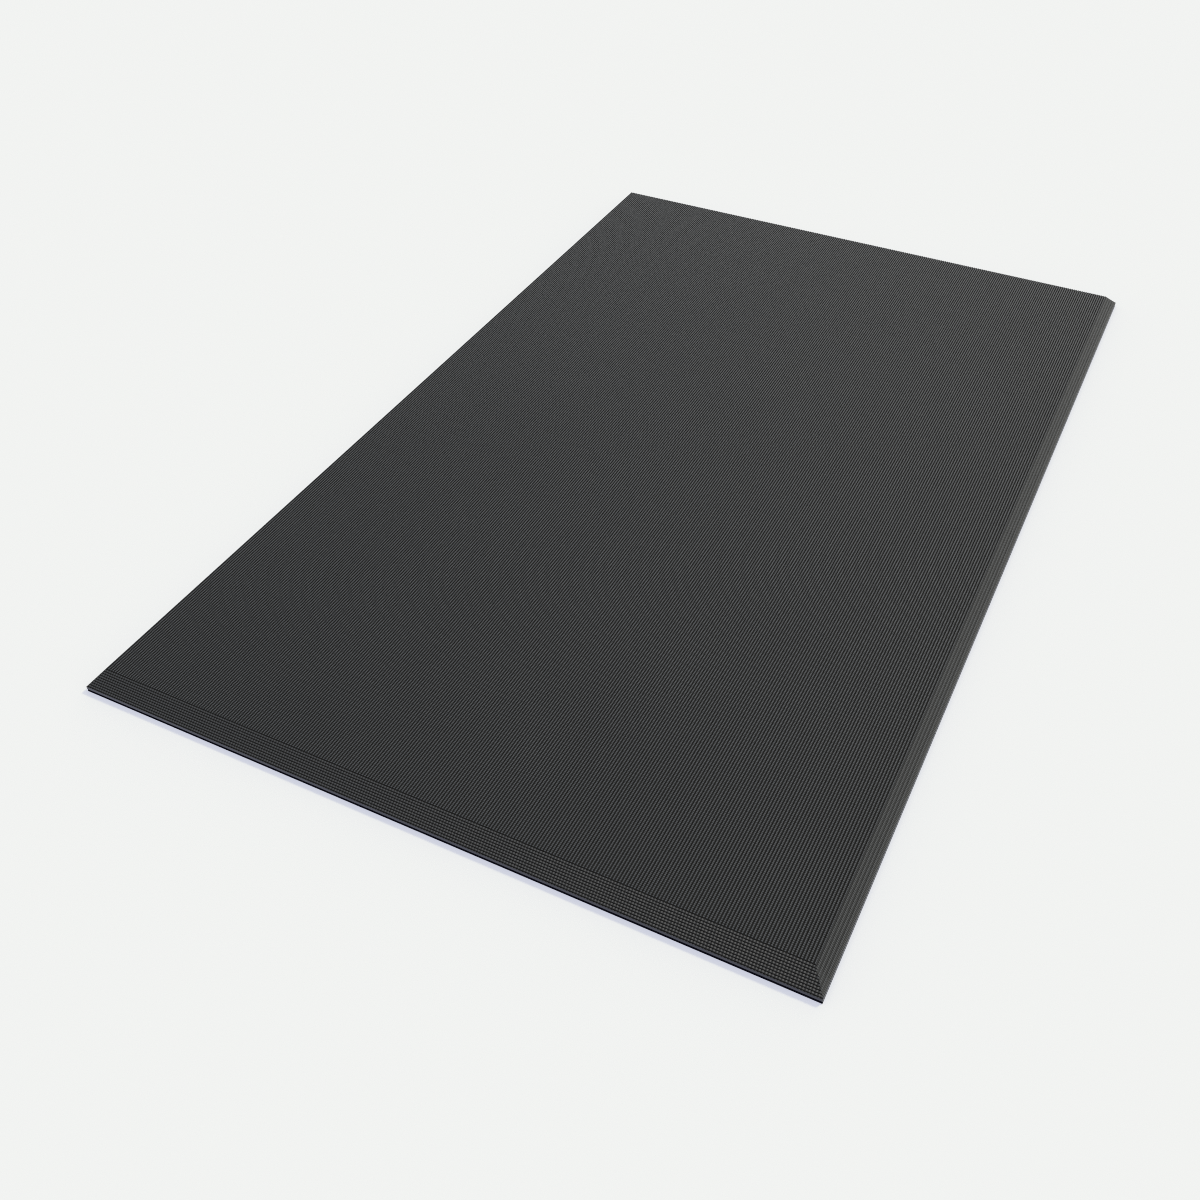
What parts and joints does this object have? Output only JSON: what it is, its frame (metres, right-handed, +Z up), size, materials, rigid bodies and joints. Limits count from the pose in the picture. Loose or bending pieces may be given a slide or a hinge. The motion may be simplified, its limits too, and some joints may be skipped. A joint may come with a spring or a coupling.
{
  "type": "anti fatigue mat",
  "caption": "Rectangular cushioned standing mat: a finely ribbed cover over a foam core and a grip sheet, with all edges bevelled down to a low lip.",
  "frame": {"origin": "middle of the rectangular outline, on the floor", "axes": "+X across the mat, +Y along its length, +Z up from the floor"},
  "size_m": [0.66, 1.025, 0.019],
  "materials": {
    "cover": "matt black moulded cover with fine raised ribs and cross notches",
    "foam": "closed-cell charcoal foam",
    "base": "dense black grip rubber"
  },
  "bodies": {
    "root": {"wear_skin": "cover", "foam_core": "foam", "grip_base": "base"}
  },
  "joints": []
}
